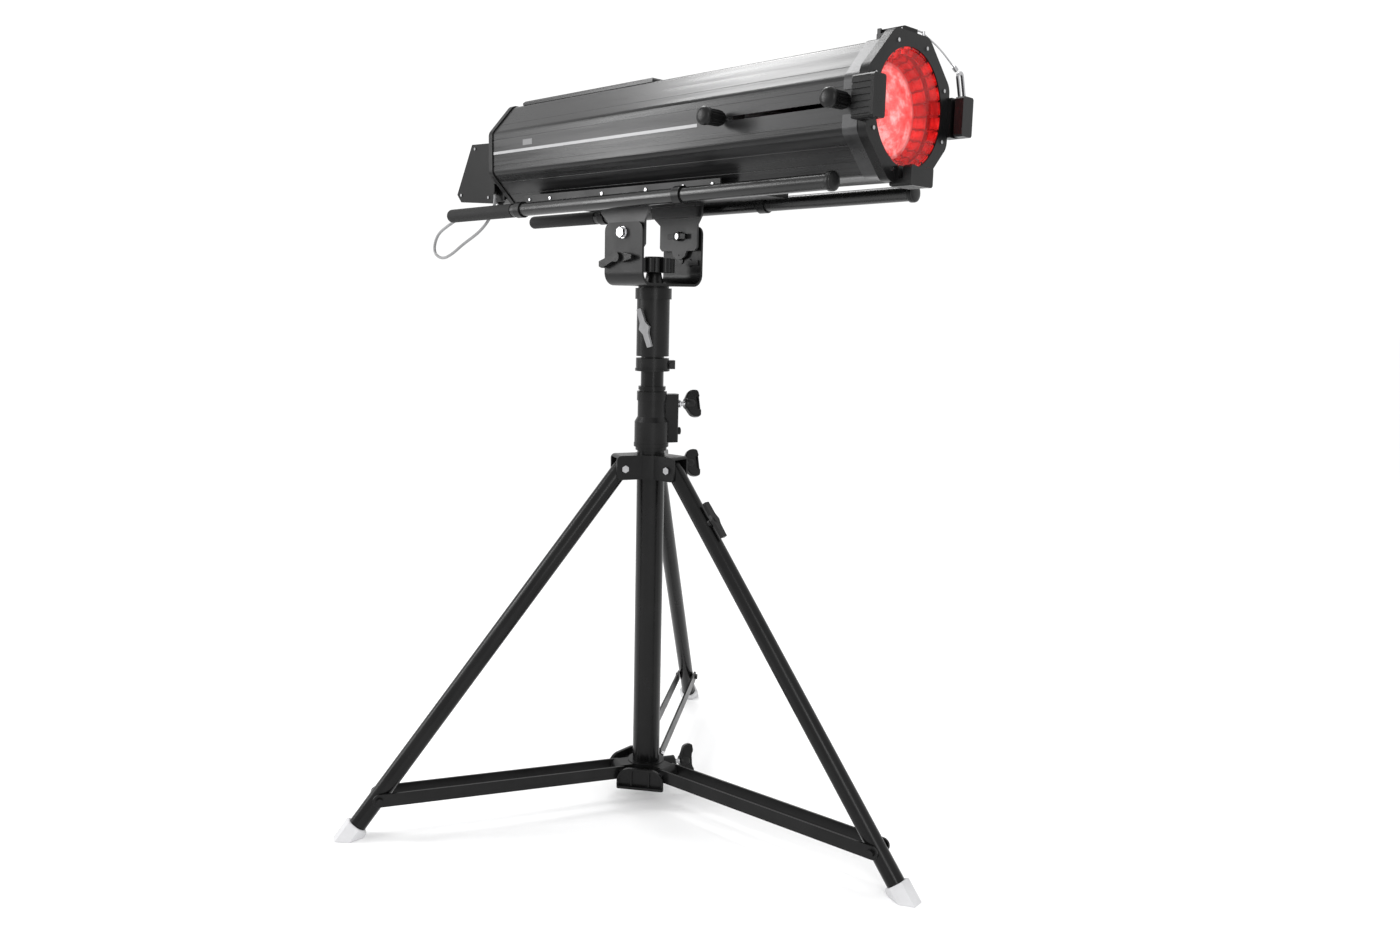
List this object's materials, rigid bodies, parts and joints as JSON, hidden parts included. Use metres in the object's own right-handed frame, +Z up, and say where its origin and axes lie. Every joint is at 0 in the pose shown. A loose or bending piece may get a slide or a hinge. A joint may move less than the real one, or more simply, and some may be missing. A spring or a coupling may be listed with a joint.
{
  "type": "followspot on a tripod stand",
  "caption": "Long-bodied stage followspot with sliding focus knobs and a red filter, carried in a tilting and panning yoke on a folding tripod stand with a lifting mast.",
  "frame": {"origin": "under the middle of the overall box, on the floor, 33 mm forward and 27 mm right of the column axis", "axes": "+X along the beam from the lamp house to the front lens, +Y to the left seen from behind the lamp, +Z up the column"},
  "size_m": [1.2412, 1.0888, 1.442],
  "materials": {
    "black_steel_tube": "satin",
    "black_casting": "satin black painted casting",
    "zinc_fastener": "polished",
    "white_rubber": "matte",
    "black_bar": "satin",
    "black_plastic": "satin",
    "dark_lever": "satin",
    "satin_extrusion": "satin black anodised",
    "black_sheet": "matte",
    "rail_paint": "satin",
    "foam_grip": "matte",
    "cable_rubber": "matte",
    "bright_steel": "brushed",
    "dark_aluminium": "satin",
    "reflector_mirror": "polished",
    "lens_glass": "clear",
    "bulb_glass": "clear",
    "socket_ceramic": "glazed",
    "red_filter": "clear"
  },
  "bodies": {
    "column": {"column_tube": "black_steel_tube", "spider": "black_casting", "leg_pins": "zinc_fastener", "column_collar": "black_casting"},
    "collar_wing": {"collar_wing": "black_plastic"},
    "spider_wing": {"spider_wing": "black_plastic"},
    "leg_r": {"leg_r_tube": "black_steel_tube", "foot_r": "white_rubber"},
    "leg_b": {"leg_b_tube": "black_steel_tube", "foot_b": "white_rubber"},
    "leg_l": {"leg_l_tube": "black_steel_tube", "foot_l": "white_rubber"},
    "leg_lever": {"leg_lever": "black_plastic"},
    "base": {"base_casting": "black_casting", "brace_pins": "zinc_fastener"},
    "base_wing": {"base_wing": "black_plastic"},
    "brace_r": {"brace_r": "black_bar"},
    "brace_b": {"brace_b": "black_bar"},
    "brace_l": {"brace_l": "black_bar"},
    "mast": {"mast_tube": "black_steel_tube", "sleeve": "black_casting", "sleeve_clamp": "black_casting"},
    "sleeve_lever": {"sleeve_lever": "dark_lever"},
    "yoke": {"yoke": "black_bar", "tilt_bolts": "zinc_fastener"},
    "pan_knob": {"pan_knob": "black_plastic"},
    "tilt_wing": {"tilt_wing": "black_plastic"},
    "tilt_lock_near": {"tilt_lock_near": "black_plastic"},
    "tilt_lock_far": {"tilt_lock_far": "black_plastic"},
    "head": {"body_shell": "satin_extrusion", "rear_cap": "black_casting", "front_collar": "satin_extrusion", "front_plate": "black_casting", "top_cover": "satin_extrusion", "body_screws": "zinc_fastener", "rear_box": "black_sheet", "power_cable": "cable_rubber", "chassis": "black_bar", "rails": "rail_paint", "rail_grips": "foam_grip", "rail_clamps": "black_plastic", "tilt_tongues": "black_bar", "guide_rods": "bright_steel", "gate_plate": "dark_aluminium", "reflector": "reflector_mirror", "lamp_bulb": "bulb_glass", "lamp_socket": "socket_ceramic", "fan_frame": "black_plastic", "mouth_baffle": "dark_aluminium", "colour_filter": "red_filter", "latch_base": "black_sheet", "safety_wire": "bright_steel", "safety_hook": "bright_steel"},
    "latch": {"latch_lid": "black_sheet"},
    "focus_carriage": {"front_lens_carrier": "dark_aluminium", "front_lens": "lens_glass"},
    "focus_knob": {"front_lens_knob": "black_plastic"},
    "zoom_carriage": {"rear_lens_carrier": "dark_aluminium", "rear_lens": "lens_glass"},
    "zoom_knob": {"rear_lens_knob": "black_plastic"}
  },
  "joints": [
    {"name": "stand_fold", "type": "slide", "parent": "column", "child": "base", "axis": [0, 0, 1], "range_m": [0, 0.32153]},
    {"name": "leg_r_fold", "type": "hinge", "parent": "column", "child": "leg_r", "pos_m": [0.02777, 0.03232, 0.694], "axis": [-0.0872, 0.9962, 0], "range_deg": [0, 31.77]},
    {"name": "leg_b_fold", "type": "hinge", "parent": "column", "child": "leg_b", "pos_m": [-0.06799, 0.07697, 0.694], "axis": [-0.8192, -0.5736, 0], "range_deg": [0, 31.77]},
    {"name": "leg_l_fold", "type": "hinge", "parent": "column", "child": "leg_l", "pos_m": [-0.05878, -0.02829, 0.694], "axis": [0.9063, -0.4226, 0], "range_deg": [0, 31.77]},
    {"name": "brace_r_fold", "type": "hinge", "parent": "base", "child": "brace_r", "pos_m": [0.02478, 0.03206, 0.068], "axis": [-0.0872, 0.9962, 0], "range_deg": [0, 80.68]},
    {"name": "brace_b_fold", "type": "hinge", "parent": "base", "child": "brace_b", "pos_m": [-0.06627, 0.07451, 0.068], "axis": [-0.8192, -0.5736, 0], "range_deg": [0, 80.68]},
    {"name": "brace_l_fold", "type": "hinge", "parent": "base", "child": "brace_l", "pos_m": [-0.05751, -0.02557, 0.068], "axis": [0.9063, -0.4226, 0], "range_deg": [0, 80.68]},
    {"name": "mast_lift", "type": "slide", "parent": "column", "child": "mast", "axis": [0, 0, 1], "range_m": [0, 0.5]},
    {"name": "pan", "type": "hinge", "parent": "mast", "child": "yoke", "pos_m": [-0.033, 0.027, 1.048], "axis": [0, 0, 1], "continuous": true},
    {"name": "tilt", "type": "hinge", "parent": "yoke", "child": "head", "pos_m": [-0.033, 0.027, 1.146], "axis": [0, 1, 0], "range_deg": [-45, 45]},
    {"name": "pan_knob_turn", "type": "hinge", "parent": "yoke", "child": "pan_knob", "pos_m": [-0.033, 0.027, 1.078], "axis": [0, 0, 1], "continuous": true},
    {"name": "tilt_wing_turn", "type": "hinge", "parent": "yoke", "child": "tilt_wing", "pos_m": [-0.033, 0.089, 1.146], "axis": [0, 1, 0], "continuous": true},
    {"name": "tilt_lock_near_turn", "type": "hinge", "parent": "yoke", "child": "tilt_lock_near", "pos_m": [-0.035, -0.063, 1.1], "axis": [0, 1, 0], "range_deg": [-40, 40]},
    {"name": "tilt_lock_far_turn", "type": "hinge", "parent": "yoke", "child": "tilt_lock_far", "pos_m": [-0.035, 0.117, 1.1], "axis": [0, 1, 0], "range_deg": [-40, 40]},
    {"name": "sleeve_lever_turn", "type": "hinge", "parent": "mast", "child": "sleeve_lever", "pos_m": [-0.033, 0.027, 0.968], "axis": [0.3907, -0.9205, 0], "continuous": true},
    {"name": "collar_wing_turn", "type": "hinge", "parent": "column", "child": "collar_wing", "pos_m": [-0.033, 0.027, 0.818], "axis": [0.4226, 0.9063, 0], "continuous": true},
    {"name": "spider_wing_turn", "type": "hinge", "parent": "column", "child": "spider_wing", "pos_m": [-0.033, 0.027, 0.698], "axis": [0.4226, 0.9063, 0], "continuous": true},
    {"name": "base_wing_turn", "type": "hinge", "parent": "base", "child": "base_wing", "pos_m": [-0.033, 0.027, 0.066], "axis": [0.4226, 0.9063, 0], "continuous": true},
    {"name": "leg_lever_turn", "type": "hinge", "parent": "leg_r", "child": "leg_lever", "pos_m": [0.107, 0.03925, 0.59117], "axis": [0.788, 0.0689, 0.6118], "continuous": true},
    {"name": "latch_open", "type": "hinge", "parent": "head", "child": "latch", "pos_m": [0.479, 0.027, 1.439], "axis": [0, -1, 0], "range_deg": [0, 100]},
    {"name": "focus_slide", "type": "slide", "parent": "head", "child": "focus_carriage", "axis": [1, 0, 0], "range_m": [-0.105, 0]},
    {"name": "zoom_slide", "type": "slide", "parent": "head", "child": "zoom_carriage", "axis": [1, 0, 0], "range_m": [-0.044, 0.084]},
    {"name": "focus_knob_turn", "type": "hinge", "parent": "focus_carriage", "child": "focus_knob", "pos_m": [0.493, -0.093, 1.319], "axis": [0, 1, 0], "continuous": true},
    {"name": "zoom_knob_turn", "type": "hinge", "parent": "zoom_carriage", "child": "zoom_knob", "pos_m": [0.243, -0.093, 1.319], "axis": [0, 1, 0], "continuous": true}
  ],
  "couplings": [
    {"joint": "leg_r_fold", "follows": "stand_fold", "rad_per_m": 1.7219},
    {"joint": "leg_b_fold", "follows": "stand_fold", "rad_per_m": 1.7219},
    {"joint": "leg_l_fold", "follows": "stand_fold", "rad_per_m": 1.7219},
    {"joint": "brace_r_fold", "follows": "stand_fold", "rad_per_m": 4.3738},
    {"joint": "brace_b_fold", "follows": "stand_fold", "rad_per_m": 4.3738},
    {"joint": "brace_l_fold", "follows": "stand_fold", "rad_per_m": 4.3738}
  ]
}
